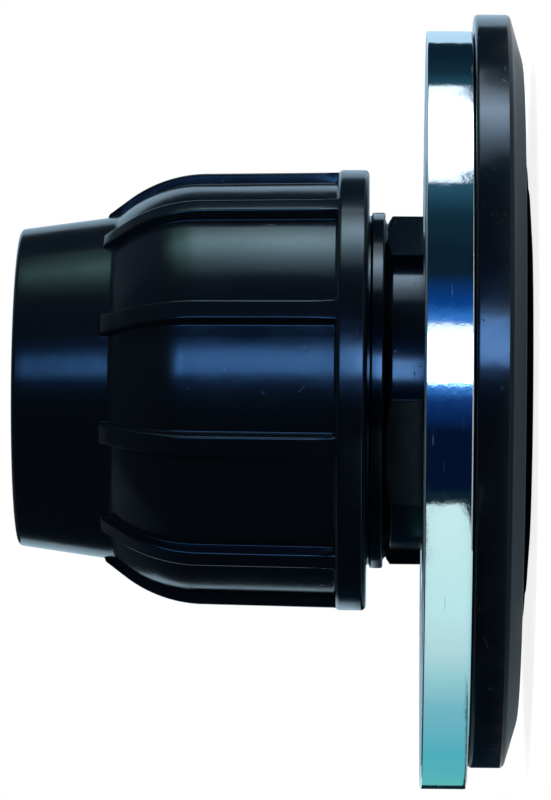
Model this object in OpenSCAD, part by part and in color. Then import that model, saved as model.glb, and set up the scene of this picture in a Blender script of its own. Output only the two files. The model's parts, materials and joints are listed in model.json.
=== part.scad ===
// Flange adaptor: a compression fitting that joins a plastic pipe to a bolted flange.
// The axis is Z. The sealing face lies at z = 0 and the pipe goes in from the top.

/* [Pipe socket] */
// Outside diameter of the pipe
pipe_d = 50; // [46:1:54]
// Radial clearance of the pipe in its socket
socket_gap = 0.4; // [0.3:0.05:0.5]
// Length of the plain socket, from the stop to the seal
socket_len = 22; // [16:1:26]
// Step of the lip that stops the end of the pipe
stop_step = 3.9; // [2:0.1:5]
// Thickness of that lip
stop_t = 4; // [3:0.5:6]
// Length of the cone that leads from the waterway to the lip
stop_cone = 8; // [5:0.5:12]

/* [Seal] */
// Cord diameter of the O-ring
o_ring_cord = 6; // [4.5:0.1:7]
// Radial clearance of the slack O-ring round the pipe
o_ring_gap = 0.3; // [0.25:0.05:0.6]
// Radial clearance of the O-ring in its seat
seat_gap = 0.5; // [0.3:0.05:0.8]
// Depth of the O-ring seat in the end of the spigot
seat_depth = 12; // [10:0.5:16]

/* [Thrust bush] */
// Radial clearance of the bush round the pipe
bush_gap = 0.8; // [0.5:0.05:1.2]
// Thickness of the flange that bears on the end of the spigot
bush_flange_t = 3.5; // [2.5:0.1:5]
// How far that flange stays inside the thread
bush_inset = 2; // [1.5:0.1:3]

/* [Grip ring] */
// Length of the split grip ring
grip_len = 28; // [22:1:34]
// Wall at the thin end, teeth included
grip_wall = 5.6; // [4.5:0.1:7]
// Half angle of the taper, in degrees
grip_taper = 8; // [6:0.5:10]
// Radial clearance of the open teeth round the pipe
grip_gap = 0.5; // [0.4:0.05:0.8]
// Number of ring-shaped teeth in the bore
tooth_count = 6; // [4:1:9]
// Height of a tooth
tooth_h = 1.2; // [0.8:0.1:1.8]
// Width of the slit
slit_w = 4; // [2:0.5:7]

/* [Nut] */
// Wall of the nut outside its thread
nut_wall = 5.7; // [4.5:0.1:8]
// Wall of the tapered snout
snout_wall = 4.4; // [3.4:0.1:6]
// Thickness of the lip at the mouth
lip_t = 7.4; // [5:0.1:10]
// Radial clearance of the mouth round the pipe
mouth_gap = 1.2; // [0.8:0.1:2]
// Width of the flare at the mouth
mouth_flare = 2.2; // [1:0.1:3]
// Radius of the shoulder between the barrel and the snout
dome_r = 27.2; // [25:0.1:30]
// Fillet between that shoulder and the snout
dome_fillet = 2.5; // [1:0.1:4]
// Height of the collar at the foot of the nut
collar_h = 6.7; // [5:0.1:9]
// How far the collar stands out past the ribs
collar_proud = 0.5; // [0.1:0.1:1]
// Rounding of the collar and of the snout's edge
nut_round = 1.1; // [0.6:0.1:1.6]
// Number of grip ribs
rib_count = 10; // [6:1:14]
// Width of a rib
rib_w = 4.4; // [3:0.1:6]
// Height of a rib above the barrel
rib_h = 2.5; // [1.6:0.1:3.2]
// Chamfer of a rib's two long edges
rib_chamfer = 0.5; // [0.2:0.1:0.8]
// Radius at which a rib bends over the shoulder
rib_bend_r = 29; // [27:0.1:31]
// How far below the shoulder a rib starts to bend
rib_lead = 1.2; // [0:0.1:3]
// Draft of the barrel and the ribs, in degrees
draft = 1; // [0.5:0.1:1.5]
// Turn of the first rib from the X axis, in degrees
rib_turn = 3; // [0:1:35]

/* [Thread] */
// Depth of the thread between the spigot and the nut
thread_depth = 2.7; // [2:0.1:3.2]
// Radial clearance of the thread
thread_gap = 0.4; // [0.2:0.05:0.6]

/* [Body] */
// Wall of the spigot round the O-ring
spigot_wall = 4.2; // [3.4:0.1:6]
// Length of the spigot above the shoulder
spigot_len = 37.1; // [33:0.1:44]
// Thickness of the shoulder that the nut is screwed down to
shoulder_t = 2.9; // [2:0.1:4]
// How far the shoulder stands out past the thread
shoulder_proud = 0.3; // [0.1:0.1:0.8]
// Gap between the nut and the shoulder
nut_gap = 0.7; // [0.5:0.1:0.9]
// Width of the groove between the neck and the shoulder
groove_w = 1.5; // [1:0.1:2.5]
// Depth of that groove
groove_depth = 2.5; // [1:0.1:4]
// Number of spanner pads round the neck
pad_count = 4; // [2:1:6]
// Angle that a pad takes up, in degrees
pad_angle = 37; // [25:1:45]
// Height of a pad
pad_h = 7.7; // [5:0.1:10]
// Gap between the pads and the shoulder
pad_gap = 0.6; // [0.4:0.1:0.9]
// How far the pads' corners lie inside the shoulder
pad_inset = 0.6; // [0.4:0.1:1.5]
// Width of the chamfer on the pads' side towards the nut
pad_chamfer_w = 1.6; // [0.5:0.1:2]
// Height of that chamfer
pad_chamfer_h = 1.3; // [0.5:0.1:2]
// Turn of the first pad's middle from the X axis, in degrees
pad_turn = -21.5; // [-45:0.5:45]
// Diameter of the waterway through the flange
waterway_d = 50; // [46:1:52]
// Wall of the neck round the waterway
neck_wall = 10; // [8:0.1:11]

/* [Flange] */
// Diameter of the flange disc
flange_d = 165; // [160:1:175]
// Thickness of the disc at its rim
rim_t = 7.7; // [5:0.1:12]
// Width of the bevel round the face
bevel_w = 10.3; // [6:0.1:11]
// Height of that bevel
bevel_t = 3; // [1.5:0.1:4]
// Rounding of the disc's back edge
rim_round = 0.9; // [0.4:0.1:1.5]
// Diameter of the raised sealing face
sealing_d = 100; // [88:1:104]
// Step from the disc up to the sealing face
sealing_step = 1.1; // [0.5:0.1:2]
// Further rise of the sealing face towards the waterway
sealing_rise = 1.3; // [0.5:0.1:2]
// Diameter of the flat land round the waterway
land_d = 62; // [58:1:70]
// Diameter of the bolt circle
bolt_circle_d = 125; // [122:1:130]
// Number of bolts
bolt_count = 4; // [4:4:8]
// Diameter of the bolt holes
bolt_hole_d = 18; // [14:1:19]
// Turn of the first bolt hole from the X axis, in degrees
bolt_turn = 45; // [40:1:50]

/* [Backing ring] */
// Thickness of the loose ring
ring_t = 10; // [8:0.5:16]
// How far its rim stands out past the flange disc
ring_proud = 0.5; // [0:0.1:2]
// Radial clearance with which it passes over the shoulder
ring_pass = 0.5; // [0.3:0.1:1]
// Clearance between the ring and what it lies on or hangs from
ring_gap = 0.3; // [0.25:0.05:0.4]
// Chamfer of the ring's edges
ring_chamfer = 0.6; // [0.3:0.1:1]

/* [Hidden] */
$fn = 96;
plastic_black = "#17191c";
rubber_black = "#0c0c0d";
acetal_white = "#e9e6da";
zinc_silver = "#a9b4bb";

// Small clearances that many pieces share, and a run-out that makes cuts clean
fit_gap = 0.3;
run_out = 1;
edge_break = 0.5;
// How far the fillet's arc crosses into the faces that it joins
fillet_cut = 0.02;
// Angle that a rib's bend runs through, so that its end lies inside the snout's wall
rib_sweep = 75;

// Radii, from the pipe outwards
pipe_r = pipe_d / 2;
socket_r = pipe_r + socket_gap;
stop_r = socket_r - stop_step;
waterway_r = waterway_d / 2;
o_ring_in_r = pipe_r + o_ring_gap;
seat_r = o_ring_in_r + o_ring_cord + seat_gap;
spigot_r = seat_r + spigot_wall;
thread_r = spigot_r + thread_depth;
shoulder_r = thread_r + shoulder_proud;
pad_r = shoulder_r - pad_inset;
neck_r = waterway_r + neck_wall;
groove_r = neck_r - groove_depth;
nut_thread_r = thread_r + thread_gap;
barrel_r = nut_thread_r + nut_wall;
rib_r = barrel_r + rib_h;

// Heights of the body, from the sealing face upwards
disc_z = sealing_rise + sealing_step;
rim_z = disc_z + bevel_t;
disc_back_z = rim_z + rim_t;
ring_z = disc_back_z + ring_gap;
pad_z = ring_z + ring_t + ring_gap;
pad_top_z = pad_z + pad_h;
shoulder_z = pad_top_z + pad_gap;
groove_z = shoulder_z - groove_w;
shoulder_top_z = shoulder_z + shoulder_t;
spigot_top_z = shoulder_top_z + spigot_len;
seat_z = spigot_top_z - seat_depth;
stop_top_z = seat_z - socket_len;
stop_z = stop_top_z - stop_t;

// Heights of the pieces inside the nut, and of the nut
o_ring_z = seat_z + fit_gap / 2 + o_ring_cord / 2;
bush_z = o_ring_z + o_ring_cord / 2 + fit_gap / 2;
bush_top_z = spigot_top_z + bush_flange_t;
grip_z = bush_top_z + fit_gap;
grip_top_z = grip_z + grip_len;
nut_z = shoulder_top_z + nut_gap;
collar_z = nut_z + collar_h;
lip_z = grip_top_z + 2 * fit_gap;
nut_top_z = lip_z + lip_t;
rib_bend_z = spigot_top_z - rib_lead;
rib_foot_r = rib_r + (rib_bend_z - collar_z) * tan(draft);
collar_r = rib_foot_r + collar_proud;

// The backing ring hangs on the neck, off the axis
ring_r = flange_d / 2 + ring_proud;
ring_bore_r = shoulder_r + ring_pass;
ring_drop = ring_bore_r - neck_r - ring_gap;

// Outside radius of the grip ring at height z, and of the cone in the nut round it
function grip_r(z) = pipe_r + grip_gap + grip_wall + (grip_top_z - z) * tan(grip_taper);
function cone_r(z) = grip_r(z) + fit_gap;
function snout_r(z) = cone_r(z) + snout_wall;

// Centre of a fillet that touches the snout's cone and a shoulder with its centre at c
function dome_fillet_centre(c) =
    let (
        slope = tan(grip_taper),
        reach = dome_r + dome_fillet,
        // Distance outwards from c to the fillet's line of centres, at the height of c
        out = snout_r(c.y) + dome_fillet / cos(grip_taper) - c.x,
        half = slope * out / (1 + slope * slope),
        rise = half + sqrt(half * half - (out * out - reach * reach) / (1 + slope * slope))
    ) [c.x + out - slope * rise, c.y + rise];

// Rectangle from (r0, z0) to (r1, z1) with its two outer corners rounded
module rounded_section(r0, z0, r1, z1, round) {
    translate([r0, z0]) square([r1 - r0 - round, z1 - z0]);
    translate([r0, z0 + round]) square([r1 - r0, z1 - z0 - 2 * round]);
    for (z = [z0 + round, z1 - round]) translate([r1 - round, z]) circle(round);
}

// Holes on the bolt circle, from z0 to z1
module bolt_holes(z0, z1) {
    for (i = [0 : bolt_count - 1])
        rotate(bolt_turn + i * 360 / bolt_count)
            translate([bolt_circle_d / 2, 0, z0 - run_out])
                cylinder(h = z1 - z0 + 2 * run_out, d = bolt_hole_d);
}

// Half section of the flange disc with its raised sealing face
module flange_section() {
    polygon([
        [waterway_r, 0],
        [land_d / 2, 0],
        [sealing_d / 2, sealing_rise],
        [sealing_d / 2, disc_z],
        [flange_d / 2 - bevel_w, disc_z],
        [flange_d / 2, rim_z],
        [flange_d / 2, disc_back_z - rim_round],
        [flange_d / 2 - rim_round, disc_back_z - rim_round],
        [flange_d / 2 - rim_round, disc_back_z],
        [waterway_r, disc_back_z]
    ]);
    translate([flange_d / 2 - rim_round, disc_back_z - rim_round]) circle(rim_round);
}

// Half section of the neck, the shoulder and the spigot that carries the thread
module spigot_section() {
    polygon([
        [waterway_r, disc_back_z - run_out],
        [neck_r, disc_back_z - run_out],
        [neck_r, groove_z],
        [groove_r, groove_z],
        [groove_r, shoulder_z + edge_break],
        [spigot_r, shoulder_z + edge_break],
        [spigot_r, spigot_top_z - edge_break],
        [spigot_r - edge_break, spigot_top_z],
        [seat_r + edge_break, spigot_top_z],
        [seat_r, spigot_top_z - edge_break],
        [seat_r, seat_z],
        [socket_r, seat_z],
        [socket_r, stop_top_z],
        [stop_r, stop_top_z],
        [stop_r, stop_z],
        [waterway_r, stop_z - stop_cone]
    ]);
    rounded_section(socket_r + edge_break, shoulder_z, shoulder_r, shoulder_top_z, edge_break);
}

// Plan of one pad on the +X side: a flat outer face between two radial sides, sunk into the wall of the neck
module pad_plan() {
    root_r = groove_r - edge_break;
    corner = [cos(pad_angle / 2), sin(pad_angle / 2)];
    polygon([
        root_r * corner,
        pad_r * corner,
        [pad_r * corner.x, -pad_r * corner.y],
        [root_r * corner.x, -root_r * corner.y]
    ]);
}

// Pads that a spanner holds the body by, chamfered towards the nut
module pads() {
    intersection() {
        for (i = [0 : pad_count - 1])
            rotate(pad_turn + i * 360 / pad_count) translate([0, 0, pad_z]) linear_extrude(pad_h) pad_plan();
        rotate_extrude() polygon([
            [waterway_r, pad_z - run_out],
            [pad_r + pad_chamfer_w, pad_z - run_out],
            [pad_r + pad_chamfer_w, pad_top_z - 2 * pad_chamfer_h],
            [pad_r - 2 * pad_chamfer_w, pad_top_z + pad_chamfer_h],
            [waterway_r, pad_top_z + pad_chamfer_h]
        ]);
    }
}

// One moulding: flange disc, neck, spanner pads, shoulder and threaded spigot
module body() {
    color(plastic_black) difference() {
        union() {
            rotate_extrude() {
                flange_section();
                spigot_section();
            }
            pads();
        }
        bolt_holes(disc_z, disc_back_z);
    }
}

// Rubber seal, slack in its seat
module o_ring() {
    color(rubber_black) translate([0, 0, o_ring_z])
        rotate_extrude() translate([o_ring_in_r + o_ring_cord / 2, 0]) circle(d = o_ring_cord);
}

// Bush that presses the O-ring when the nut is screwed down
module thrust_bush() {
    color(plastic_black) rotate_extrude() polygon([
        [pipe_r + bush_gap, bush_z],
        [seat_r - fit_gap, bush_z],
        [seat_r - fit_gap, spigot_top_z],
        [spigot_r - bush_inset, spigot_top_z],
        [spigot_r - bush_inset, bush_top_z],
        [pipe_r + bush_gap, bush_top_z]
    ]);
}

// Split ring with saw teeth in its bore and a taper outside
module grip_ring() {
    tip_r = pipe_r + grip_gap;
    tooth_pitch = grip_len / tooth_count;
    teeth = [for (i = [tooth_count - 1 : -1 : 0])
        let (z = grip_z + i * tooth_pitch)
            each [[tip_r + tooth_h, z + tooth_pitch], [tip_r, z]]];
    color(acetal_white) difference() {
        rotate_extrude() polygon(concat(
            [[grip_r(grip_z), grip_z], [grip_r(grip_top_z), grip_top_z]],
            teeth
        ));
        translate([0, -slit_w / 2, grip_z - run_out])
            cube([grip_r(grip_z) + run_out, slit_w, grip_len + 2 * run_out]);
    }
}

// Half section of the outside of the nut, solid to the axis
module nut_section() {
    // Collar, barrel with its draft, and the snout up to the rounded edge of the mouth
    edge_z = nut_top_z - nut_round;
    edge_r = snout_r(edge_z) - nut_round / cos(grip_taper);
    rounded_section(0, nut_z, collar_r, collar_z, nut_round);
    polygon([
        [0, nut_z + nut_round],
        [barrel_r + (spigot_top_z - nut_z - nut_round) * tan(draft), nut_z + nut_round],
        [barrel_r, spigot_top_z],
        [0, spigot_top_z]
    ]);
    polygon([
        [0, spigot_top_z - run_out],
        [snout_r(spigot_top_z - run_out), spigot_top_z - run_out],
        [edge_r + nut_round * cos(grip_taper), edge_z + nut_round * sin(grip_taper)],
        [edge_r, edge_z],
        [edge_r, nut_top_z],
        [0, nut_top_z]
    ]);
    translate([edge_r, edge_z]) circle(nut_round);
    // Round shoulder between the barrel and the snout, with a fillet at its foot
    dome_c = [barrel_r - dome_r, spigot_top_z];
    fillet_c = dome_fillet_centre(dome_c);
    to_dome = (dome_c - fillet_c) / (dome_r + dome_fillet);
    to_snout = -[cos(grip_taper), sin(grip_taper)];
    sink = dome_fillet + snout_wall / 4;
    intersection() {
        translate(dome_c) circle(dome_r);
        translate([0, spigot_top_z - run_out / 2]) square([barrel_r + run_out, dome_r]);
    }
    difference() {
        polygon([fillet_c, fillet_c + sink * to_dome, fillet_c + sink * to_snout]);
        translate(fillet_c) circle(dome_fillet + fillet_cut);
    }
}

// Half section of the space inside the nut
module nut_bore_section() {
    mouth_r = pipe_r + mouth_gap;
    thread_end_z = spigot_top_z + run_out;
    polygon([
        [0, nut_z - run_out],
        [nut_thread_r + edge_break + run_out, nut_z - run_out],
        [nut_thread_r, nut_z + edge_break],
        [nut_thread_r, thread_end_z],
        [cone_r(grip_z - run_out), grip_z - run_out],
        [cone_r(lip_z), lip_z],
        [mouth_r, lip_z],
        [mouth_r, nut_top_z - mouth_flare],
        [mouth_r + mouth_flare + run_out, nut_top_z + run_out],
        [0, nut_top_z + run_out]
    ]);
}

// Rib on the +X side: a bar with broken edges that runs up the barrel and bends over the shoulder
module rib() {
    root = rib_h + nut_wall / 3;
    side = rib_w / 2;
    section = [
        [0, -side],
        [root - rib_chamfer, -side],
        [root, rib_chamfer - side],
        [root, side - rib_chamfer],
        [root - rib_chamfer, side],
        [0, side]
    ];
    bar_len = (rib_bend_z - collar_z + nut_round) / cos(draft);
    translate([rib_r, 0, rib_bend_z]) rotate([0, -draft, 0]) translate([-root, 0, -bar_len])
        linear_extrude(bar_len) polygon(section);
    translate([rib_r - rib_bend_r, 0, rib_bend_z]) rotate([90, 0, 0]) rotate(-draft)
        rotate_extrude(angle = rib_sweep) translate([rib_bend_r - root, 0]) polygon(section);
}

// Ribbed compression nut
module nut() {
    color(plastic_black) difference() {
        union() {
            rotate_extrude() nut_section();
            for (i = [0 : rib_count - 1]) rotate(rib_turn + i * 360 / rib_count) rib();
        }
        rotate_extrude() nut_bore_section();
    }
}

// Loose steel ring that takes the bolts' load, hanging on the neck
module backing_ring() {
    c = ring_chamfer;
    color(zinc_silver) translate([-ring_drop, 0, ring_z]) difference() {
        rotate_extrude() polygon([
            [ring_bore_r + c, 0],
            [ring_r - c, 0],
            [ring_r, c],
            [ring_r, ring_t - c],
            [ring_r - c, ring_t],
            [ring_bore_r + c, ring_t],
            [ring_bore_r, ring_t - c],
            [ring_bore_r, c]
        ]);
        bolt_holes(0, ring_t);
    }
}

body();
o_ring();
thrust_bush();
grip_ring();
nut();
backing_ring();
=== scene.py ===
import json
import math

import bmesh
import bpy
from mathutils import Matrix, Vector


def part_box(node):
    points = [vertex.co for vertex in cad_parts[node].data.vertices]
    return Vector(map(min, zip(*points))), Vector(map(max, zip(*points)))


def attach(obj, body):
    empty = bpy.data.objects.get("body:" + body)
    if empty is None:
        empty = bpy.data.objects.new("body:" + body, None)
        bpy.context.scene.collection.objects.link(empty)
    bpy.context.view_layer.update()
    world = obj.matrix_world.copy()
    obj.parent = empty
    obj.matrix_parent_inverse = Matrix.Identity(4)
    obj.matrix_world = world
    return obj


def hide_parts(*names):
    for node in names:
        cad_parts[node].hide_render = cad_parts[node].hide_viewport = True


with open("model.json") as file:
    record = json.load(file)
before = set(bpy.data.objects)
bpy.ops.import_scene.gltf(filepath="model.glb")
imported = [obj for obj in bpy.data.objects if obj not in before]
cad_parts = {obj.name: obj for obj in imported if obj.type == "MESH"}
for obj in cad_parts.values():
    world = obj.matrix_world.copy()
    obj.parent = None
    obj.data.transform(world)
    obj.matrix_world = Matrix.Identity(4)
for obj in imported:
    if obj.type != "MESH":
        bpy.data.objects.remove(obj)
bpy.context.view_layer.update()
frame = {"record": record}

# Body: one injection moulding of black polypropylene, with the flange disc, the neck, four spanner
# pads, the shoulder and the spigot. Its sealing side lies on the floor, with three low ridges.
# Sizes are in millimetres, and each mesh is scaled to metres when it becomes a piece.
mounts = {mount["name"]: mount for mount in frame["record"]["mounts"]}
socket_r = mounts["pipe_socket"]["dims"]["r_mm"]
bolt_circle_r = mounts["flange_bolts"]["dims"]["pcd_mm"] / 2
bolt_hole_r = mounts["flange_bolts"]["dims"]["hole_r_mm"]
bolt_hole_count = mounts["flange_bolts"]["dims"]["count"]
first_hole_angle = 45
spigot_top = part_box("body")[1].z * 1000
flange_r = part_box("body")[1].y * 1000
waterway_r = 25.0
land_r = 31.0
sealing_r = 50.0
sealing_rise = 1.3
disc_face = 2.4
bevel_w = 10.3
rim_foot = 5.4
disc_back = 13.1
neck_r = 35.0
shoulder_fillet_r = 37.3
shoulder_fillet_foot = 30.4
pad_foot = 23.7
pad_top = 31.4
pad_r = 38.4
pad_angle = 37
pad_turn = -21.5
pad_count = 4
pad_root_r = neck_r - 3
pad_chamfer_w = 1.6
pad_chamfer_h = 1.3
pad_round = 0.5
blank_bore_r = waterway_r + 1
blank_r = pad_r + 0.3
blank_overlap = 0.5
shoulder_r = 39.0
shoulder_foot = 32.0
shoulder_top = 34.9
spigot_r = 36.0
spigot_root_r = 38.3
spigot_root_top = 36.4
seat_r = 31.8
seat_foot = 60.0
stop_r = 21.5
stop_foot = 34.0
stop_top = 38.0
stop_cone = 8.0
sealing_ridges = (36.0, 40.0, 44.0)
ridge_h = 0.25
ridge_w = 0.7
weld_mm = 0.002
sharp_angle = 35


def turned(corners, steps=216, segments=4):
    """Spins an outline round the Z axis. A corner is its radius, its height and the reach of its rounding."""
    bm = bmesh.new()
    verts = [bm.verts.new((radius, 0, height)) for radius, height, rounding in corners]
    for first, second in zip(verts, verts[1:] + verts[:1]):
        bm.edges.new((first, second))
    for vert, (radius, height, rounding) in zip(verts, corners):
        if rounding:
            bmesh.ops.bevel(bm, geom=[vert], affect="VERTICES", offset=rounding, segments=segments,
                            profile=0.5, material=-1)
    bmesh.ops.spin(bm, geom=bm.verts[:] + bm.edges[:], cent=(0, 0, 0), axis=(0, 0, 1),
                   angle=math.tau, steps=steps, use_merge=True)
    return bm


def as_piece(name, bm):
    """Closes a mesh made in millimetres and makes it an object in metres, at the origin."""
    bmesh.ops.remove_doubles(bm, verts=bm.verts[:], dist=weld_mm)
    bmesh.ops.recalc_face_normals(bm, faces=bm.faces[:])
    bmesh.ops.scale(bm, vec=(0.001, 0.001, 0.001), verts=bm.verts[:])
    mesh = bpy.data.meshes.new(name)
    bm.to_mesh(mesh)
    bm.free()
    piece = bpy.data.objects.new(name, mesh)
    bpy.context.scene.collection.objects.link(piece)
    return piece


def combine(piece, operation, bm):
    """Joins a second mesh to a piece, or cuts it away, and keeps the result as the piece's own mesh."""
    tool = as_piece("tool", bm)
    boolean = piece.modifiers.new("tool", "BOOLEAN")
    boolean.operation = operation
    boolean.solver = "EXACT"
    boolean.object = tool
    graph = bpy.context.evaluated_depsgraph_get()
    piece.data = bpy.data.meshes.new_from_object(piece.evaluated_get(graph))
    piece.modifiers.clear()
    bpy.data.objects.remove(tool)


def smooth(piece, material):
    """Gives a piece its material and smooth shading, with edges above a certain angle left sharp."""
    piece.data.materials.clear()
    piece.data.materials.append(material)
    piece.data.shade_smooth()
    piece.data.set_sharp_from_angle(angle=math.radians(sharp_angle))
    weighted = piece.modifiers.new("even normals", "WEIGHTED_NORMAL")
    weighted.keep_sharp = True


def bolt_hole_cutter(low, high, break_w, centre_x=0.0):
    """Pins on the bolt circle from low to high, flared at both ends so that they break the holes' edges."""
    wide = bolt_hole_r + 3 * break_w
    cutter = bmesh.new()
    for i in range(bolt_hole_count):
        pin = turned([
            (0, low - 2 * break_w, 0),
            (wide, low - 2 * break_w, 0),
            (bolt_hole_r, low + break_w, 0),
            (bolt_hole_r, high - break_w, 0),
            (wide, high + 2 * break_w, 0),
            (0, high + 2 * break_w, 0),
        ], steps=64)
        angle = math.radians(first_hole_angle + 360 / bolt_hole_count * i)
        place = (centre_x + bolt_circle_r * math.cos(angle), bolt_circle_r * math.sin(angle), 0)
        bmesh.ops.translate(pin, vec=place, verts=pin.verts[:])
        mesh = bpy.data.meshes.new("pin")
        pin.to_mesh(mesh)
        pin.free()
        cutter.from_mesh(mesh)
        bpy.data.meshes.remove(mesh)
    return cutter


def on_cone(radius):
    """Height of the sealing cone at a radius."""
    return sealing_rise * (radius - land_r) / (sealing_r - land_r)


ridge_corners = []
for ridge_r in sealing_ridges:
    ridge_corners.append((ridge_r - ridge_w, on_cone(ridge_r - ridge_w), 0))
    ridge_corners.append((ridge_r, on_cone(ridge_r) - ridge_h, ridge_w / 3))
    ridge_corners.append((ridge_r + ridge_w, on_cone(ridge_r + ridge_w), 0))
body = as_piece("body_moulding", turned([
    (waterway_r, 0, 0.4),
    (land_r, 0, 0.5),
    *ridge_corners,
    (sealing_r, sealing_rise, 0.4),
    (sealing_r, disc_face, 0.4),
    (flange_r - bevel_w, disc_face, 1.0),
    (flange_r, rim_foot, 0.8),
    (flange_r, disc_back, 0.9),
    (neck_r, disc_back, 0.8),
    (neck_r, shoulder_fillet_foot, 0.3),
    (shoulder_fillet_r, shoulder_foot, 0.3),
    (shoulder_r, shoulder_foot, 0.5),
    (shoulder_r, shoulder_top, 0.4),
    (spigot_root_r, shoulder_top, 0.2),
    (spigot_root_r, spigot_root_top, 0.4),
    (spigot_r, spigot_root_top + 0.6, 0.2),
    (spigot_r, spigot_top, 0.6),
    (seat_r, spigot_top, 0.5),
    (seat_r, seat_foot, 0.3),
    (socket_r, seat_foot, 0.5),
    (socket_r, stop_top, 0.3),
    (stop_r, stop_top, 0.4),
    (stop_r, stop_foot, 0.4),
    (waterway_r, stop_foot - stop_cone, 0.6),
]))
combine(body, "DIFFERENCE", bolt_hole_cutter(disc_face, disc_back, 0.25))

# Each pad has a flat outer face between radial sides. Its corners are turned off towards the nut, so all the
# pads are cut from one turned blank.
pad_blank = turned([
    (blank_bore_r, pad_foot, 0),
    (blank_r, pad_foot, 0),
    (blank_r, pad_top - pad_chamfer_h, 0.6),
    (pad_r - pad_chamfer_w, pad_top, pad_round),
    (blank_bore_r, pad_top, 0),
])
pad_mesh = bmesh.new()
half_angle = math.radians(pad_angle / 2)
plan = [(radius * math.cos(angle), radius * math.sin(angle), pad_foot - blank_overlap)
        for radius, angle in ((pad_root_r, -half_angle), (pad_r, -half_angle),
                              (pad_r, half_angle), (pad_root_r, half_angle))]
pad_face = pad_mesh.faces.new([pad_mesh.verts.new(corner) for corner in plan])
raised = bmesh.ops.extrude_face_region(pad_mesh, geom=[pad_face])["geom"]
bmesh.ops.translate(pad_mesh, vec=(0, 0, pad_top - pad_foot + 2 * blank_overlap),
                    verts=[item for item in raised if isinstance(item, bmesh.types.BMVert)])
upright_edges = [edge for edge in pad_mesh.edges if abs(edge.verts[0].co.z - edge.verts[1].co.z) > 1]
outer_edges = [edge for edge in upright_edges if edge.verts[0].co.xy.length > neck_r]
bmesh.ops.bevel(pad_mesh, geom=outer_edges, affect="EDGES", offset=pad_round, segments=3, profile=0.5,
                material=-1)
bmesh.ops.rotate(pad_mesh, cent=(0, 0, 0), matrix=Matrix.Rotation(math.radians(pad_turn), 3, "Z"),
                 verts=pad_mesh.verts[:])
bmesh.ops.spin(pad_mesh, geom=pad_mesh.verts[:] + pad_mesh.edges[:] + pad_mesh.faces[:], cent=(0, 0, 0),
               axis=(0, 0, 1), angle=math.tau * (pad_count - 1) / pad_count, steps=pad_count - 1,
               use_duplicate=True)
pads = as_piece("pads", pad_blank)
combine(pads, "INTERSECT", pad_mesh)
cut_pads = bmesh.new()
cut_pads.from_mesh(pads.data)
bmesh.ops.scale(cut_pads, vec=(1000, 1000, 1000), verts=cut_pads.verts[:])
bpy.data.objects.remove(pads)
combine(body, "UNION", cut_pads)


def linear(code):
    """Turns an sRGB hex colour into the linear colour that shaders use."""
    parts = [int(code[i:i + 2], 16) / 255 for i in (1, 3, 5)]
    return tuple(c / 12.92 if c <= 0.04045 else ((c + 0.055) / 1.055) ** 2.4 for c in parts) + (1.0,)


def add_node(tree, kind, settings=None, links=None):
    """Adds a node. Settings name its properties or sockets, and links name the sockets that it reads."""
    made = tree.nodes.new(kind)
    for name, value in (settings or {}).items():
        if isinstance(name, str) and hasattr(made, name):
            setattr(made, name, value)
        else:
            made.inputs[name].default_value = value
    for name, source in (links or {}).items():
        tree.links.new(source, made.inputs[name])
    return made


def bare_tree(owner):
    """Empties the node tree of a material or a world, and returns it."""
    owner.use_nodes = True
    owner.node_tree.nodes.clear()
    return owner.node_tree


def new_material(name):
    """Returns a material, its node tree, and the Principled shader that the tree ends in."""
    material = bpy.data.materials.new(name)
    tree = bare_tree(material)
    shader = add_node(tree, "ShaderNodeBsdfPrincipled")
    add_node(tree, "ShaderNodeOutputMaterial", links={"Surface": shader.outputs["BSDF"]})
    return material, tree, shader


# Moulded polypropylene: black with carbon, glossy or satin as its mould was polished. The skin is a little
# wavy from shrinkage, so reflections waver, and handling leaves dull rubs and small nicks.
shrink_mm = 9.0
rub_mm = 14.0
nick_mm = 3.2


def black_polypropylene(name, gloss, rubbed):
    """Black polypropylene with the roughness of its clean skin and of its rubbed skin."""
    material, tree, shader = new_material(name)
    where = add_node(tree, "ShaderNodeTexCoord").outputs["Object"]
    shrink = add_node(tree, "ShaderNodeTexNoise", {"Scale": 1000 / shrink_mm, "Detail": 2.0},
                      {"Vector": where})
    rub = add_node(tree, "ShaderNodeTexNoise", {"Scale": 1000 / rub_mm, "Detail": 7.0, "Roughness": 0.65},
                   {"Vector": where})
    rub_level = add_node(tree, "ShaderNodeMapRange",
                         {"From Min": 0.35, "From Max": 0.75, "To Min": gloss, "To Max": rubbed},
                         {"Value": rub.outputs["Fac"]})
    nick = add_node(tree, "ShaderNodeTexNoise",
                    {"Scale": 1000 / nick_mm, "Detail": 3.0, "Distortion": 1.6}, {"Vector": where})
    nick_depth = add_node(tree, "ShaderNodeMapRange",
                          {"From Min": 0.69, "From Max": 0.75, "To Min": 0.0, "To Max": -1.0},
                          {"Value": nick.outputs["Fac"]})
    wavy = add_node(tree, "ShaderNodeBump", {"Strength": 0.12, "Distance": 0.0004},
                    {"Height": shrink.outputs["Fac"]})
    skin = add_node(tree, "ShaderNodeBump", {"Strength": 0.14, "Distance": 0.0002},
                    {"Height": nick_depth.outputs["Result"], "Normal": wavy.outputs["Normal"]})
    shader.inputs["Base Color"].default_value = linear("#070c12")
    shader.inputs["IOR"].default_value = 1.49
    shader.inputs["Specular IOR Level"].default_value = 0.39
    shader.inputs["Specular Tint"].default_value = linear("#cfeaff")
    tree.links.new(rub_level.outputs["Result"], shader.inputs["Roughness"])
    tree.links.new(skin.outputs["Normal"], shader.inputs["Normal"])
    return material


glossy_polypropylene = black_polypropylene("glossy moulded polypropylene", 0.11, 0.18)
smooth(body, glossy_polypropylene)
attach(body, "fitting")
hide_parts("body")

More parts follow.
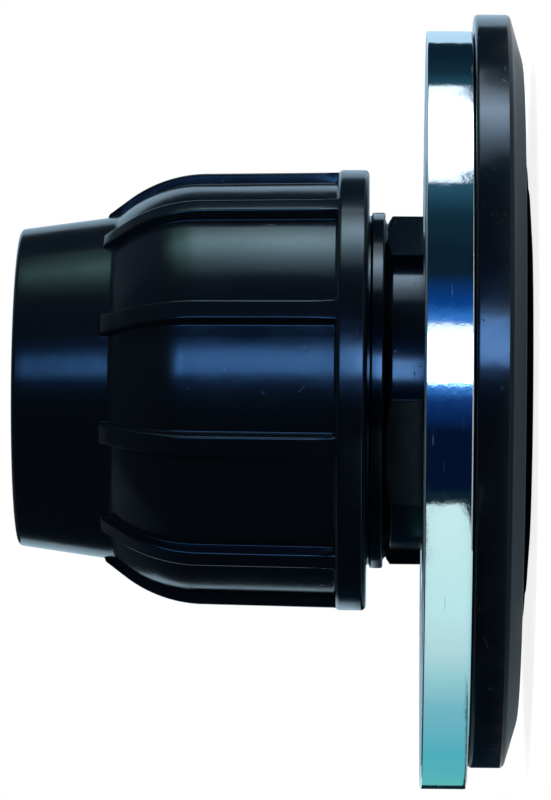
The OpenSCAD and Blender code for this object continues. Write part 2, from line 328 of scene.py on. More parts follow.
# Thread on the spigot: a coarse right-hand ridge that is part of the body's moulding. It runs out at
# both ends, and its pitch is what the nut climbs in one turn.
thread_pitch = frame["record"]["behaviour"]["couplings"][0]["ratio"] * math.tau * 1000
thread_crest_r = 38.7
thread_foot_w = 3.0
thread_crest_w = 1.2
thread_start = 38.6
thread_turns = 5.1
thread_sink = 0.2
steps_per_turn = 72
run_out_steps = 8
thinnest = 0.05


def thread_ridge(foot_r, crest_r, start):
    """Sweeps a four-sided ridge along a right-hand helix and thins it out at both ends."""
    bm = bmesh.new()
    corners = [(foot_r, -thread_foot_w / 2), (crest_r, -thread_crest_w / 2),
               (crest_r, thread_crest_w / 2), (foot_r, thread_foot_w / 2)]
    section = [bm.verts.new((radius, 0, start + height)) for radius, height in corners]
    first_face = bm.faces.new(section)
    step = math.tau / steps_per_turn
    steps = round(thread_turns * steps_per_turn)
    last = [first_face, *first_face.edges, *first_face.verts]
    sections = [section]
    for i in range(steps):
        last = bmesh.ops.spin(bm, geom=last, cent=(0, 0, 0), axis=(0, 0, 1), angle=step, steps=1,
                              dvec=(0, 0, thread_pitch / steps_per_turn))["geom_last"]
        sections.append([item for item in last if isinstance(item, bmesh.types.BMVert)])
    for i, verts in enumerate(sections):
        share = min(1, i / run_out_steps, (steps - i) / run_out_steps)
        for vert in verts:
            radius = math.hypot(vert.co.x, vert.co.y)
            thinned = foot_r + (radius - foot_r) * max(share, thinnest)
            vert.co.x *= thinned / radius
            vert.co.y *= thinned / radius
    return bm


spigot_thread = as_piece("spigot_thread", thread_ridge(spigot_r - thread_sink, thread_crest_r, thread_start))
smooth(spigot_thread, glossy_polypropylene)
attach(spigot_thread, "fitting")

# O-ring: a moulded nitrile rubber cord of 6 mm, closed into a ring. It lies slack in the end of the
# spigot until the nut drives the bush onto it.
o_ring_low, o_ring_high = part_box("o_ring")
cord_r = (o_ring_high.z - o_ring_low.z) * 500
cord_z = (o_ring_high.z + o_ring_low.z) * 500
cord_ring_r = o_ring_high.x * 1000 - cord_r
o_ring_mesh = bmesh.new()
cord_place = Matrix.Translation((cord_ring_r, 0, cord_z)) @ Matrix.Rotation(math.pi / 2, 4, "X")
bmesh.ops.create_circle(o_ring_mesh, segments=32, radius=cord_r, matrix=cord_place)
bmesh.ops.spin(o_ring_mesh, geom=o_ring_mesh.verts[:] + o_ring_mesh.edges[:], cent=(0, 0, 0),
               axis=(0, 0, 1), angle=math.tau, steps=144, use_merge=True)
o_ring = as_piece("o_ring_seal", o_ring_mesh)

# Nitrile rubber: a dull, nearly even black with a faint grain from its mould.
grain_mm = 0.5
rubber, tree, shader = new_material("nitrile rubber")
where = add_node(tree, "ShaderNodeTexCoord").outputs["Object"]
grain = add_node(tree, "ShaderNodeTexNoise", {"Scale": 1000 / grain_mm}, {"Vector": where})
bump = add_node(tree, "ShaderNodeBump", {"Strength": 0.2, "Distance": 0.0001},
                {"Height": grain.outputs["Fac"]})
shader.inputs["Base Color"].default_value = linear("#121213")
shader.inputs["Roughness"].default_value = 0.6
shader.inputs["IOR"].default_value = 1.52
tree.links.new(bump.outputs["Normal"], shader.inputs["Normal"])
smooth(o_ring, rubber)
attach(o_ring, "fitting")
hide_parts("o_ring")

# Thrust bush: a flanged polypropylene ring that passes the nut's push to the O-ring. Its flange stops on
# the end of the spigot.
bush_low, bush_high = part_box("thrust_bush")
bush_bore_r = 25.8
bush_gap = 0.3
bush_r = seat_r - bush_gap
bush_flange_r = bush_high.x * 1000
bush = as_piece("thrust_bush_moulding", turned([
    (bush_bore_r, bush_low.z * 1000, 0.4),
    (bush_r, bush_low.z * 1000, 0.4),
    (bush_r, spigot_top, 0),
    (bush_flange_r, spigot_top, 0.4),
    (bush_flange_r, bush_high.z * 1000, 0.4),
    (bush_bore_r, bush_high.z * 1000, 0.4),
], steps=144))
smooth(bush, glossy_polypropylene)
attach(bush, "fitting")
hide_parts("thrust_bush")

# Grip ring: a split ring of white acetal with saw teeth in its bore. Its taper lies in the nut's taper,
# which closes it on the pipe as the nut is screwed down.
grip_low, grip_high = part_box("grip_ring")
grip_foot = grip_low.z * 1000
grip_top = grip_high.z * 1000
taper_angle = 8
grip_taper = math.tan(math.radians(taper_angle))
grip_top_r = 31.1
tooth_tip_r = 25.5
tooth_h = 1.2
tooth_count = 6
slit_w = 4.0
tooth_pitch = (grip_top - grip_foot) / tooth_count
grip_corners = [(grip_top_r + (grip_top - grip_foot) * grip_taper, grip_foot), (grip_top_r, grip_top)]
for i in reversed(range(tooth_count)):
    tooth_foot = grip_foot + i * tooth_pitch
    grip_corners.append((tooth_tip_r + tooth_h, tooth_foot + tooth_pitch))
    grip_corners.append((tooth_tip_r, tooth_foot))
grip_mesh = bmesh.new()
grip_section = grip_mesh.faces.new([grip_mesh.verts.new((r, 0, z)) for r, z in grip_corners])
slit_half_angle = math.asin(slit_w / 2 / tooth_tip_r)
bmesh.ops.rotate(grip_mesh, cent=(0, 0, 0), matrix=Matrix.Rotation(slit_half_angle, 3, "Z"),
                 verts=grip_mesh.verts[:])
bmesh.ops.spin(grip_mesh, geom=[grip_section, *grip_section.edges, *grip_section.verts], cent=(0, 0, 0),
               axis=(0, 0, 1), angle=math.tau - 2 * slit_half_angle, steps=144)
# The slit's two sides lie parallel, not along radii
for vert in grip_mesh.verts:
    if vert.co.x > 0 and abs(math.atan2(vert.co.y, vert.co.x)) < slit_half_angle + 0.001:
        radius = math.hypot(vert.co.x, vert.co.y)
        vert.co.y = math.copysign(slit_w / 2, vert.co.y)
        vert.co.x = math.sqrt(radius ** 2 - vert.co.y ** 2)
grip = as_piece("grip_ring_moulding", grip_mesh)

# Acetal: a dense, slightly creamy white with a soft gloss. The melt's flow leaves faint clouds in it, and
# its skin is a little wavy.
cloud_mm = 7.0
acetal, tree, shader = new_material("moulded acetal")
where = add_node(tree, "ShaderNodeTexCoord").outputs["Object"]
cloud = add_node(tree, "ShaderNodeTexNoise", {"Scale": 1000 / cloud_mm, "Detail": 3.0}, {"Vector": where})
tone = add_node(tree, "ShaderNodeMix",
                {"data_type": "RGBA", "A": linear("#dedacd"), "B": linear("#e9e7de")},
                {"Factor": cloud.outputs["Fac"]})
soft_gloss = add_node(tree, "ShaderNodeMapRange",
                      {"From Min": 0.3, "From Max": 0.7, "To Min": 0.32, "To Max": 0.44},
                      {"Value": cloud.outputs["Fac"]})
bump = add_node(tree, "ShaderNodeBump", {"Strength": 0.1, "Distance": 0.0002},
                {"Height": cloud.outputs["Fac"]})
shader.inputs["IOR"].default_value = 1.48
tree.links.new(tone.outputs["Result"], shader.inputs["Base Color"])
tree.links.new(soft_gloss.outputs["Result"], shader.inputs["Roughness"])
tree.links.new(bump.outputs["Normal"], shader.inputs["Normal"])
smooth(grip, acetal)
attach(grip, "grip")
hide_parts("grip_ring")

# Nut: a black polypropylene moulding with a collar, ten grip ribs that bend over its round shoulder, and a
# tapered snout. It is modelled as half a rib and half a panel, mirrored and repeated round the axis.
nut_low, nut_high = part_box("nut")
nut_foot = nut_low.z * 1000
nut_top = nut_high.z * 1000
collar_r = 48.3
collar_top = 42.3
nut_round = 1.1
root_round = 0.4
draft = math.tan(math.radians(1))
barrel_r = 44.8
barrel_top = spigot_top
dome_r = 27.2
dome_fillet = 2.5
snout_wall = 4.4
cone_gap = 0.3
rib_r = 47.3
rib_bend_r = 29.0
rib_bend = 70.8
rib_count = 10
rib_turn = 3
lip_foot = 104.4
mouth_r = 26.2
mouth_flare = 2.2
nut_bore_r = 39.1
bore_top = 73.0
cone_foot = 74.8
# Half of a rib's section: distance from its middle, and the share of its full height there
rib_section = [(0.0, 1.0), (0.9, 1.0), (1.7, 1.0), (1.96, 0.97), (2.13, 0.89), (2.2, 0.78),
               (2.42, 0.1), (2.55, 0.03), (2.8, 0.0)]
panel_columns = 12
panel_start = 6.0
half_sector = 180 / rib_count


def arc(centre, radius, start, end, steps):
    """Points of an arc in the half section, with its angles in degrees."""
    angles = [math.radians(start + (end - start) * i / steps) for i in range(steps + 1)]
    return [(centre[0] + radius * math.cos(a), centre[1] + radius * math.sin(a)) for a in angles]


def line(first, last, steps):
    """Points along a straight line, with both ends."""
    return [tuple(a + (b - a) * i / steps for a, b in zip(first, last)) for i in range(steps + 1)]


def cone_r(height):
    """Radius of the taper in the nut that the grip ring lies in."""
    return grip_top_r + cone_gap + (grip_top - height) * grip_taper


def snout_r(height):
    """Radius of the snout's outside, which follows that taper."""
    return cone_r(height) + snout_wall


def drafted(radius, height, top):
    """Radius of a wall that widens downwards by its draft."""
    return radius + (top - height) * draft


def snout_fillet():
    """Centre of the fillet that touches the snout's cone and the round shoulder."""
    reach = dome_r + dome_fillet
    out = snout_r(barrel_top) + dome_fillet / math.cos(math.radians(taper_angle)) - (barrel_r - dome_r)
    half = grip_taper * out / (1 + grip_taper ** 2)
    rise = half + math.sqrt(half ** 2 - (out ** 2 - reach ** 2) / (1 + grip_taper ** 2))
    return barrel_r - dome_r + out - grip_taper * rise, barrel_top + rise


dome_centre = (barrel_r - dome_r, barrel_top)
fillet_centre = snout_fillet()
dome_end = math.degrees(math.atan2(fillet_centre[1] - dome_centre[1], fillet_centre[0] - dome_centre[0]))
rib_centre = (rib_r - rib_bend_r, rib_bend)
rib_end = 92.9
rib_end_w = 0.3
rib_straight = 37
panel_low, panel_high = 46, 70
snout_low, snout_high = 95, 109
root_r = drafted(barrel_r, collar_top, barrel_top)
edge_height = nut_top - nut_round
edge_r = snout_r(edge_height) - nut_round / math.cos(math.radians(taper_angle))

# The plain outline from the collar to the end of the ribs, and the ribs' own outline with as many points
panel_outline = (
    arc((collar_r - nut_round, collar_top - nut_round), nut_round, 0, 90, 4)
    + arc((root_r + root_round, collar_top + root_round), root_round, 270, 180, 3)
    + line((drafted(barrel_r, panel_low, barrel_top), panel_low),
           (drafted(barrel_r, panel_high, barrel_top), panel_high), 5)
    + arc(dome_centre, dome_r, 0, dome_end, 18)
    + arc(fillet_centre, dome_fillet, dome_end + 180, 180 + taper_angle, 6)[1:]
    + [(snout_r(rib_end - rib_end_w), rib_end - rib_end_w), (snout_r(rib_end), rib_end)]
)
rib_foot_points = arc((collar_r - nut_round, collar_top - nut_round), nut_round, 0, 43, 2)
rib_line = line((drafted(rib_r, collar_top, rib_bend), collar_top), (rib_r, rib_bend), 12)[:-1]
rib_arc_steps = len(panel_outline) - len(rib_foot_points) - len(rib_line) - 4
rib_arc = arc(rib_centre, rib_bend_r, -1, rib_straight, rib_arc_steps)
rib_run = (rib_end - rib_end_w - rib_arc[-1][1]) * math.tan(math.radians(rib_straight))
rib_blunt_end = (rib_arc[-1][0] - rib_run, rib_end - rib_end_w)
rib_outline = (rib_foot_points + rib_line + rib_arc + line(rib_arc[-1], rib_blunt_end, 2)[1:]
               + panel_outline[-1:])
snout_and_bore = (
    line((snout_r(snout_low), snout_low), (snout_r(snout_high), snout_high), 4)
    + arc((edge_r, edge_height), nut_round, taper_angle, 90, 5)
    + [(mouth_r + mouth_flare + 0.4, nut_top), (mouth_r + mouth_flare, nut_top - 0.15)]
    + [(mouth_r + 0.3, nut_top - mouth_flare + 0.1), (mouth_r, nut_top - mouth_flare - 0.5)]
    + [(mouth_r, lip_foot), (cone_r(lip_foot), lip_foot), (cone_r(cone_foot), cone_foot)]
    + [(nut_bore_r, bore_top), (nut_bore_r, nut_foot + 0.5), (nut_bore_r + 0.5, nut_foot)]
    + arc((collar_r - nut_round, nut_foot + nut_round), nut_round, 270, 360, 4)
)
nut_outline = panel_outline + snout_and_bore
outside_count = len(panel_outline) + 10
column_count = len(rib_section) + panel_columns
nut_mesh = bmesh.new()
row_of = nut_mesh.verts.layers.int.new("row")
nut_verts = [nut_mesh.verts.new((r, 0, z)) for r, z in nut_outline]
for row, vert in enumerate(nut_verts):
    vert[row_of] = row
for first, second in zip(nut_verts, nut_verts[1:] + nut_verts[:1]):
    nut_mesh.edges.new((first, second))
bmesh.ops.spin(nut_mesh, geom=nut_mesh.verts[:] + nut_mesh.edges[:], cent=(0, 0, 0), axis=(0, 0, 1),
               angle=math.radians(half_sector), steps=column_count - 1)
for vert in nut_mesh.verts:
    row = vert[row_of]
    column = round(math.degrees(math.atan2(vert.co.y, vert.co.x)) / half_sector * (column_count - 1))
    radius, height = nut_outline[row]
    if column < len(rib_section):
        from_middle, share = rib_section[column]
        if row < len(panel_outline):
            radius += (rib_outline[row][0] - radius) * share
            height += (rib_outline[row][1] - height) * share
        angle = math.asin(from_middle / (radius if row < outside_count else barrel_r))
    else:
        share = (column - len(rib_section)) / (panel_columns - 1)
        angle = math.radians(panel_start + (half_sector - panel_start) * share)
    vert.co = (radius * math.cos(angle), radius * math.sin(angle), height)
bmesh.ops.mirror(nut_mesh, geom=nut_mesh.verts[:] + nut_mesh.edges[:] + nut_mesh.faces[:],
                 matrix=Matrix.Identity(4), axis="Y", merge_dist=0.001)
bmesh.ops.spin(nut_mesh, geom=nut_mesh.verts[:] + nut_mesh.edges[:] + nut_mesh.faces[:], cent=(0, 0, 0),
               axis=(0, 0, 1), angle=math.tau * (rib_count - 1) / rib_count, steps=rib_count - 1,
               use_duplicate=True)
bmesh.ops.rotate(nut_mesh, cent=(0, 0, 0), matrix=Matrix.Rotation(math.radians(rib_turn), 3, "Z"),
                 verts=nut_mesh.verts[:])
nut = as_piece("nut_moulding", nut_mesh)
satin_polypropylene = black_polypropylene("satin moulded polypropylene", 0.15, 0.22)
smooth(nut, satin_polypropylene)
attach(nut, "nut")
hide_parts("nut")

# Thread in the nut: the ridge that runs between the turns of the spigot's thread. It is part of the nut's
# moulding and climbs with it.
nut_thread_crest_r = 36.4
nut_thread_start = thread_start + thread_pitch / 2
nut_ridge = thread_ridge(nut_bore_r + thread_sink, nut_thread_crest_r, nut_thread_start)
nut_thread = as_piece("nut_thread", nut_ridge)
smooth(nut_thread, satin_polypropylene)
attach(nut_thread, "nut")

# Backing ring: a loose ring cut from 10 mm steel plate, turned, drilled and zinc plated. It hangs on the
# neck of the body, a little off the axis, and takes the load of the flange bolts.
ring_low, ring_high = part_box("backing_ring")
ring_centre_x = (ring_low.x + ring_high.x) * 500
ring_r = (ring_high.x - ring_low.x) * 500
ring_foot = ring_low.z * 1000
ring_top = ring_high.z * 1000
ring_bore_r = 39.5
ring_chamfer = 0.35
ring_mesh = turned([
    (ring_bore_r, ring_foot, ring_chamfer),
    (ring_r, ring_foot, ring_chamfer),
    (ring_r, ring_top, ring_chamfer),
    (ring_bore_r, ring_top, ring_chamfer),
], steps=240, segments=3)
bmesh.ops.translate(ring_mesh, vec=(ring_centre_x, 0, 0), verts=ring_mesh.verts[:])
ring = as_piece("backing_ring_steel", ring_mesh)
combine(ring, "DIFFERENCE", bolt_hole_cutter(ring_foot, ring_top, 0.3, ring_centre_x))

# Zinc-plated steel: a bright bluish plate over turned steel. The plate is finely mottled, so the edges of
# reflections are ragged, and handling leaves pale scratches round the rim.
mottle_mm = 2.2
scratch_mm = 0.45
scratch_len_mm = 16.0
zinc, tree, shader = new_material("zinc-plated steel")
where = add_node(tree, "ShaderNodeTexCoord").outputs["Object"]
mottle = add_node(tree, "ShaderNodeTexNoise", {"Scale": 1000 / mottle_mm, "Detail": 5.0, "Roughness": 0.6},
                  {"Vector": where})
dull = add_node(tree, "ShaderNodeMapRange",
                {"From Min": 0.35, "From Max": 0.7, "To Min": 0.04, "To Max": 0.08},
                {"Value": mottle.outputs["Fac"]})
bump = add_node(tree, "ShaderNodeBump", {"Strength": 0.07, "Distance": 0.0002},
                {"Height": mottle.outputs["Fac"]})
drawn_out = add_node(tree, "ShaderNodeMapping",
                     {"Scale": (1000 / scratch_len_mm, 1000 / scratch_len_mm, 1000 / scratch_mm)},
                     {"Vector": where})
scratch = add_node(tree, "ShaderNodeTexNoise", {"Scale": 1.0, "Detail": 1.0},
                   {"Vector": drawn_out.outputs["Vector"]})
scuffed = add_node(tree, "ShaderNodeMapRange",
                   {"From Min": 0.745, "From Max": 0.785, "To Min": 0.0, "To Max": 0.28},
                   {"Value": scratch.outputs["Fac"]})
rough = add_node(tree, "ShaderNodeMath", {"operation": "ADD"},
                 {0: dull.outputs["Result"], 1: scuffed.outputs["Result"]})
shader.inputs["Base Color"].default_value = linear("#dfeaee")
shader.inputs["Metallic"].default_value = 1.0
tree.links.new(rough.outputs["Value"], shader.inputs["Roughness"])
tree.links.new(bump.outputs["Normal"], shader.inputs["Normal"])
smooth(ring, zinc)

# Zinc-plated rolled steel: the ring's flat faces are the plate's own skin under the same zinc, so they are
# duller than the turned rim, with soft clouds and a fine grain.
flat_normal = 0.99
skin_cloud_mm = 9.0
skin_grain_mm = 0.7
rolled, tree, shader = new_material("zinc-plated rolled steel")
where = add_node(tree, "ShaderNodeTexCoord").outputs["Object"]
cloud = add_node(tree, "ShaderNodeTexNoise",
                 {"Scale": 1000 / skin_cloud_mm, "Detail": 6.0, "Roughness": 0.6}, {"Vector": where})
dull = add_node(tree, "ShaderNodeMapRange",
                {"From Min": 0.35, "From Max": 0.7, "To Min": 0.4, "To Max": 0.54},
                {"Value": cloud.outputs["Fac"]})
grain = add_node(tree, "ShaderNodeTexNoise", {"Scale": 1000 / skin_grain_mm, "Detail": 2.0},
                 {"Vector": where})
bump = add_node(tree, "ShaderNodeBump", {"Strength": 0.12, "Distance": 0.0001},
                {"Height": grain.outputs["Fac"]})
shader.inputs["Base Color"].default_value = linear("#d3dcdf")
shader.inputs["Metallic"].default_value = 1.0
tree.links.new(dull.outputs["Result"], shader.inputs["Roughness"])
tree.links.new(bump.outputs["Normal"], shader.inputs["Normal"])
ring.data.materials.append(rolled)
for face in ring.data.polygons:
    face.material_index = int(abs(face.normal.z) > flat_normal)
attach(ring, "ring")
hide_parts("backing_ring")

# Table: a small matt white disc that the part stands on. It shows white to the camera, with a light shadow
# that fades out towards the table's edge, and is clear from below, so that the sealing side can be looked at.
# In reflections it shows its own shade under the part, a dim painted bluish glow beside it and white further
# out.
table_r = 185
table_z = -0.05
shadow_r = 105
dark_r = 60
dark_blend = 5
dim_glow = 0.14
white_glow = 0.86
table_mesh = bmesh.new()
bmesh.ops.create_circle(table_mesh, cap_ends=True, segments=96, radius=table_r,
                        matrix=Matrix.Translation((0, 0, table_z)))
table = as_piece("table", table_mesh)
laminate = bpy.data.materials.new("white laminate")
tree = bare_tree(laminate)
matt = add_node(tree, "ShaderNodeBsdfDiffuse", {"Color": linear("#bdbdbd")})
glow = add_node(tree, "ShaderNodeEmission", {"Color": (1, 1, 1, 1), "Strength": white_glow})
lit = add_node(tree, "ShaderNodeAddShader", links={0: matt.outputs["BSDF"], 1: glow.outputs["Emission"]})
where = add_node(tree, "ShaderNodeTexCoord").outputs["Object"]
out = add_node(tree, "ShaderNodeVectorMath", {"operation": "LENGTH"}, {0: where})
faded = add_node(tree, "ShaderNodeMapRange", {"From Min": shadow_r / 1000, "From Max": table_r / 1000},
                 {"Value": out.outputs["Value"]})
plain = add_node(tree, "ShaderNodeEmission", {"Color": (1, 1, 1, 1), "Strength": 1.0})
path = add_node(tree, "ShaderNodeLightPath")
reflected = add_node(tree, "ShaderNodeMath", {"operation": "MAXIMUM"},
                     {0: path.outputs["Is Glossy Ray"], 1: path.outputs["Is Transmission Ray"]})
# Painted reflection: beside the part the table glows a dim bluish white, seen in reflections only.
dim_level = add_node(tree, "ShaderNodeMapRange",
                     {"From Min": (dark_r - dark_blend) / 1000, "From Max": (dark_r + dark_blend) / 1000,
                      "To Min": 0.0, "To Max": dim_glow},
                     {"Value": out.outputs["Value"]})
dim = add_node(tree, "ShaderNodeEmission", {"Color": linear("#cfeeff")},
               {"Strength": dim_level.outputs["Result"]})
dim_lit = add_node(tree, "ShaderNodeAddShader", links={0: matt.outputs["BSDF"], 1: dim.outputs["Emission"]})
unseen = add_node(tree, "ShaderNodeMixShader",
                  links={0: reflected.outputs["Value"], 1: matt.outputs["BSDF"],
                         2: dim_lit.outputs["Shader"]})
near = add_node(tree, "ShaderNodeMixShader",
                links={0: path.outputs["Is Camera Ray"], 1: unseen.outputs["Shader"],
                       2: lit.outputs["Shader"]})
seen = add_node(tree, "ShaderNodeMath", {"operation": "MAXIMUM"},
                {0: path.outputs["Is Camera Ray"], 1: reflected.outputs["Value"]})
white_share = add_node(tree, "ShaderNodeMath", {"operation": "MULTIPLY"},
                       {0: seen.outputs["Value"], 1: faded.outputs["Result"]})
chosen = add_node(tree, "ShaderNodeMixShader",
                  links={0: white_share.outputs["Value"], 1: near.outputs["Shader"],
                         2: plain.outputs["Emission"]})
underside = add_node(tree, "ShaderNodeNewGeometry").outputs["Backfacing"]
clear = add_node(tree, "ShaderNodeBsdfTransparent")
one_sided = add_node(tree, "ShaderNodeMixShader",
                     links={0: underside, 1: chosen.outputs["Shader"], 2: clear.outputs["BSDF"]})
add_node(tree, "ShaderNodeOutputMaterial", links={"Surface": one_sided.outputs["Shader"]})
table.data.materials.append(laminate)

# Surround: a white room. The camera and reflections see it white, and its soft light reaches the part from
# all sides at half that strength.
scene = bpy.context.scene
world = bpy.data.worlds.new("white room")
scene.world = world
tree = bare_tree(world)
path = add_node(tree, "ShaderNodeLightPath")
seen = add_node(tree, "ShaderNodeMath", {"operation": "MAXIMUM"},
                {0: path.outputs["Is Camera Ray"], 1: path.outputs["Is Glossy Ray"]})
seen = add_node(tree, "ShaderNodeMath", {"operation": "MAXIMUM"},
                {0: seen.outputs["Value"], 1: path.outputs["Is Transmission Ray"]})
fill = add_node(tree, "ShaderNodeBackground", {"Color": (1, 1, 1, 1), "Strength": 0.5})
white = add_node(tree, "ShaderNodeBackground", {"Color": (1, 1, 1, 1), "Strength": 1.0})
chosen = add_node(tree, "ShaderNodeMixShader",
                  links={0: seen.outputs["Value"], 1: fill.outputs["Background"],
                         2: white.outputs["Background"]})
add_node(tree, "ShaderNodeOutputWorld", links={"Surface": chosen.outputs["Shader"]})


# Cards: dark and pale boards out of the camera's sight, which black plastic and bright metal need round them.
# They glow and show only in reflections, so their colours are painted reflections. Dark and grey cloths keep
# the white room out of the plastic. A pale card beside the backing ring stands on a shelf that hides it from
# the disc, and blue diffusers on the camera's side give the long streaks on the nut.
room_r = 2200
room_foot = -1000
cloth_seam = 200
room_top = 2600


def glowing(name, axis, colours):
    """A board's glow, which paints a reflection: colours by position, in metres along an axis, each with its
    own strength.
    """
    paint = bpy.data.materials.new(name)
    tree = bare_tree(paint)
    glow = add_node(tree, "ShaderNodeEmission")
    add_node(tree, "ShaderNodeOutputMaterial", links={"Surface": glow.outputs["Emission"]})
    first, last = colours[0][0], colours[-1][0]
    glow.inputs["Strength"].default_value = max(strength for place, colour, strength in colours)
    where = add_node(tree, "ShaderNodeTexCoord").outputs["Object"]
    along = add_node(tree, "ShaderNodeSeparateXYZ", links={"Vector": where})
    share = add_node(tree, "ShaderNodeMapRange", {"From Min": first, "From Max": last},
                     {"Value": along.outputs[axis]})
    ramp = add_node(tree, "ShaderNodeValToRGB", links={"Fac": share.outputs["Result"]})
    stops = ramp.color_ramp.elements
    while len(stops) < len(colours):
        stops.new(0.5)
    for stop, (place, colour, strength) in zip(stops, colours):
        stop.position = (place - first) / (last - first)
        level = strength / glow.inputs["Strength"].default_value
        stop.color = [part * level for part in linear(colour)[:3]] + [1.0]
    tree.links.new(ramp.outputs["Color"], glow.inputs["Color"])
    return paint


def off_camera(board, paint):
    """Paints a board and hides it from the camera and from soft light, so that only reflections show it."""
    board.data.materials.append(paint)
    board.visible_camera = False
    board.visible_diffuse = False
    board.visible_shadow = False


def curtain(name, start, end, one_edge, other_edge, paint):
    """A curved board round the part, from one angle to another, counted from the camera towards +X.
    Each of its edges is a radius and a height."""
    bm = bmesh.new()
    turn = math.radians(start - 90)
    ends = [bm.verts.new((radius * math.cos(turn), radius * math.sin(turn), height))
            for radius, height in (one_edge, other_edge)]
    edge = bm.edges.new(ends)
    bmesh.ops.spin(bm, geom=[edge, *edge.verts], cent=(0, 0, 0), axis=(0, 0, 1),
                   angle=math.radians(end - start), steps=48)
    off_camera(as_piece(name, bm), paint)


def upright(back):
    """The turn of a flat thing that faces along a direction, with its height along the part's axis."""
    side = Vector((0, 0, 1)).cross(back).normalized()
    return Matrix((side, back.cross(side), back)).transposed()


def board(name, centre, facing, width, height, paint):
    """A flat board at a place in millimetres, with its height along the part's axis."""
    bm = bmesh.new()
    turn = upright(Vector(facing).normalized()).to_4x4()
    place = Matrix.Translation(centre) @ turn @ Matrix.Diagonal((width / 2, height / 2, 1, 1))
    bmesh.ops.create_grid(bm, x_segments=1, y_segments=1, size=1, matrix=place)
    off_camera(as_piece(name, bm), paint)


# Painted light: the dark cloth's glow turns lighter and bluer towards +X, the softbox's side, as if lit from
# there.
night = glowing("dark cloth", "X", [
    (-2.2, "#0d2231", 1.0),
    (1.6, "#0d2231", 1.0),
    (1.9, "#14303f", 1.0),
    (2.08, "#2c5a70", 1.0),
    (2.2, "#3d6e84", 1.0),
])
curtain("dark_curtain", -172, 146, (room_r, room_foot), (room_r, cloth_seam), night)
# Painted light: the grey cloths glow lighter upwards, as if lit from above.
dusk = glowing("grey cloth", "Z", [
    (0.2, "#06121b", 1.0),
    (0.7, "#1c2a34", 1.0),
    (1.3, "#3a4650", 1.0),
    (2.6, "#6a747c", 1.0),
])
curtain("left_grey_curtain", -172, -84, (room_r, cloth_seam), (room_r, room_top), dusk)
curtain("right_grey_curtain", 84, 146, (room_r, cloth_seam), (room_r, room_top), dusk)
# Painted shade: the cloth on the camera's side is a darker copy of the grey cloth.
shaded_front_cloth = glowing("grey cloth in painted shade", "Z", [
    (0.2, "#06121b", 1.0),
    (0.7, "#101a22", 1.0),
    (1.3, "#1c262e", 1.0),
    (2.6, "#2c353c", 1.0),
])
curtain("front_grey_curtain", -84, 84, (room_r, cloth_seam), (room_r, room_top), shaded_front_cloth)
# Painted shade: the ceiling cloth glows darker on the camera's side than behind the part.
ceiling_glow_with_painted_shade = glowing("pale cloth with painted shade", "Y", [
    (-2.2, "#333c43", 1.0),
    (-0.4, "#333c43", 1.0),
    (0.3, "#7b848b", 1.0),
    (2.2, "#7b848b", 1.0),
])
board("ceiling_cloth", (0, 0, room_top), (0.001, 0, -1), 2 * room_r, 2 * room_r, ceiling_glow_with_painted_shade)
# Painted reflection: the pale card and shelf glow from near white to teal, the bands that the backing ring's
# rim shows.
pale = glowing("pale card", "Y", [
    (-0.246, "#e3fffd", 1.0),
    (-0.2, "#e3fffd", 1.0),
    (-0.108, "#d4f9f9", 1.0),
    (-0.081, "#c9ebee", 1.0),
    (-0.063, "#a6dadf", 1.0),
    (-0.046, "#82c5d2", 1.0),
    (-0.016, "#5cbcc9", 1.0),
    (0.05, "#63c1ba", 1.0),
])
board("pale_card", (-110, -98, 18.6), (1, 0, 0), 296, 10.8, pale)
shelf_top = 13.28
shelf_underside = 13.22
shelf_edge_r = 83.6
shelf_reach = 275
curtain("pale_shelf", -58, -23, (shelf_edge_r, shelf_top), (shelf_reach, shelf_top), pale)
curtain("shelf_underside", -58, -23, (shelf_edge_r, shelf_underside), (shelf_reach, shelf_underside), night)
back_paint = glowing("bluish card", "Z", [(-1.0, "#c4e7ff", 1.0), (2.6, "#c4e7ff", 1.0)])
curtain("bluish_back", 146, 188, (room_r, room_foot), (room_r, room_top), back_paint)
board("ring_flag", (25, 200, 24), (0, -1, 0), 130, 22, night)
return_paint = glowing("white card", "Z", [(0.03, "#c4e4f6", 1.2), (0.2, "#c4e4f6", 1.2)])
curtain("nut_return", -174, -141, (500, 36), (500, 200), return_paint)
diffuser_x = 285
diffuser_y = -1400
diffuser_w = 1770


def diffuser(name, low, high, core):
    """A blue board from one height to another, dim at both ends, with its own colours in its bright core."""
    near_end = [
        (-0.6, "#03132d", 1.0),
        (-0.15, "#03132d", 1.0),
        (0.07, "#103a80", 0.8),
        (0.18, "#3a86e0", 1.0),
    ]
    far_end = [
        (0.83, "#0c4a9c", 0.8),
        (1.17, "#0d2231", 1.0),
    ]
    paint = glowing(name, "X", near_end + core + far_end)
    board(name, (diffuser_x, diffuser_y, (low + high) / 2), (0, 1, 0), diffuser_w, high - low, paint)


diffuser("lower_diffuser", -400, 40, [
    (0.21, "#98c4ff", 18.0),
    (0.54, "#98c4ff", 18.0),
    (0.57, "#e8f2ff", 1.6),
    (0.63, "#e8f2ff", 1.6),
    (0.66, "#3a86e0", 1.0),
])
for name, low, high, strength in (("middle_diffuser", 40, 430, 8.0), ("upper_diffuser", 430, 530, 12.0),
                                  ("upper_diffuser_edge", 530, 600, 5.0),
                                  ("upper_diffuser_fade", 600, 680, 2.0)):
    diffuser(name, low, high, [
        (0.24, "#76b7ff", strength),
        (0.51, "#76b7ff", strength),
        (0.64, "#3a86e0", 1.0),
    ])


# Softboxes: one above the part as it lies in the photograph, and a weak one over the nut, on the camera's
# side. The first is brightest in its middle and fades along the part's axis, which a lamp can't, so
# reflections show painted boards in its place.
softbox_x = 450


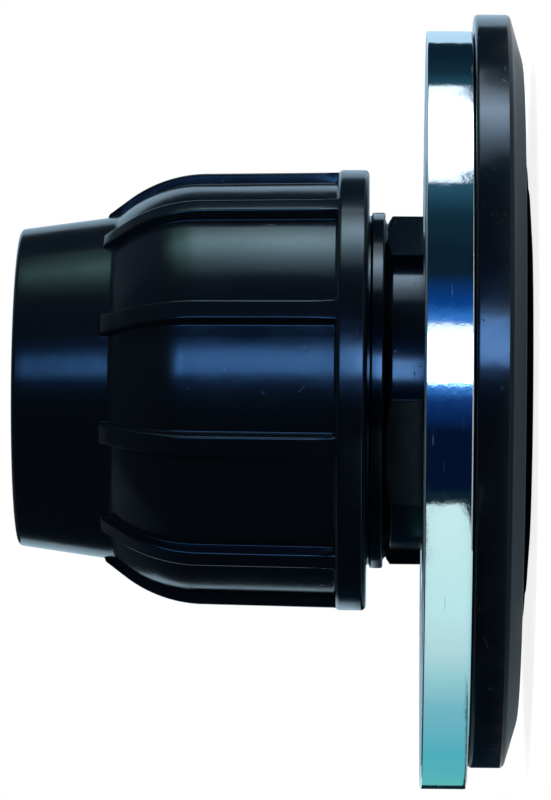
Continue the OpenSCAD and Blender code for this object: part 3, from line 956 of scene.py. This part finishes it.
def softbox(name, centre, aim, width, height, colour, watts):
    """A rectangular lamp at a place in metres, facing another, with its height along the part's axis."""
    lamp = bpy.data.lights.new(name, "AREA")
    lamp.shape = "RECTANGLE"
    lamp.size = width
    lamp.size_y = height
    lamp.color = linear(colour)[:3]
    lamp.energy = watts
    made = bpy.data.objects.new(name, lamp)
    made.location = centre
    made.rotation_euler = upright((Vector(centre) - Vector(aim)).normalized()).to_euler()
    scene.collection.objects.link(made)
    return made


top_lamp = softbox("top_softbox", (0.46, -0.025, 0.17), (0, -0.025, 0.17), 0.36, 0.35, "#f6faff", 2.6)
top_lamp.visible_glossy = False
softbox_levels = [(-0.2, 1.5), (-0.165, 2.0), (-0.118, 3.6), (-0.072, 6.4), (-0.024, 8.4), (0.028, 4.4),
                  (0.084, 1.7), (0.13, 1.5)]
for band, low, high, share, colour in (("softbox_foot", 8, 40, 1.0, "#e8f3ff"),
                                       ("softbox_middle", 40, 88, 1.0, "#d8f2f4"),
                                       ("softbox_upper", 88, 122, 0.66, "#d0f2ee"),
                                       ("softbox_top", 122, 150, 0.5, "#c4f2e4"),
                                       ("softbox_edge", 150, 205, 0.36, "#bdf2de"),
                                       ("softbox_fade", 205, 235, 0.18, "#bdf2de"),
                                       ("softbox_faint", 235, 270, 0.07, "#bdf2de")):
    band_paint = glowing(band, "Y", [(place, colour, level * share) for place, level in softbox_levels])
    board(band, (softbox_x, -35, (low + high) / 2), (-1, 0, 0), 330, high - low, band_paint)
low_top_paint = glowing("softbox lower edge", "Y", [
    (-0.17, "#dcecff", 1.0),
    (-0.118, "#dcecff", 4.0),
    (-0.072, "#dcecff", 7.5),
    (-0.024, "#dcecff", 9.0),
    (0.028, "#dcecff", 3.0),
    (0.06, "#dcecff", 0.6),
    (0.09, "#dcecff", 0.2),
])
board("top_softbox_edge", (softbox_x, -40, -26), (-1, 0, 0), 260, 68, low_top_paint)
front_lamp = softbox("front_softbox", (0.6, -1.5, 0.9), (0, 0, 0.05), 0.5, 0.5, "#e8f0ff", 6.0)
front_lamp.visible_glossy = False

# Camera: level with the flange's neck, 1.25 m from the axis, rolled so that the part lies as photographed.
eye = Vector((0, -1.249, 0.0309))
target = Vector((-0.0023, 0, 0.0558))
roll = math.radians(0.5)
lens_mm = 256
sensor_mm = 36
lens = bpy.data.cameras.new("camera")
lens.sensor_width = sensor_mm
lens.lens = lens_mm
camera = bpy.data.objects.new("camera", lens)
forward = (target - eye).normalized()
right = forward.cross(Vector((1, 0, 0))).normalized()
up = right.cross(forward)
rolled_right = right * math.cos(roll) + up * math.sin(roll)
rolled_up = up * math.cos(roll) - right * math.sin(roll)
turn = Matrix((rolled_right, rolled_up, -forward)).transposed().to_4x4()
camera.matrix_world = Matrix.Translation(eye) @ turn
scene.collection.objects.link(camera)
scene.camera = camera
scene.view_settings.view_transform = "Standard"
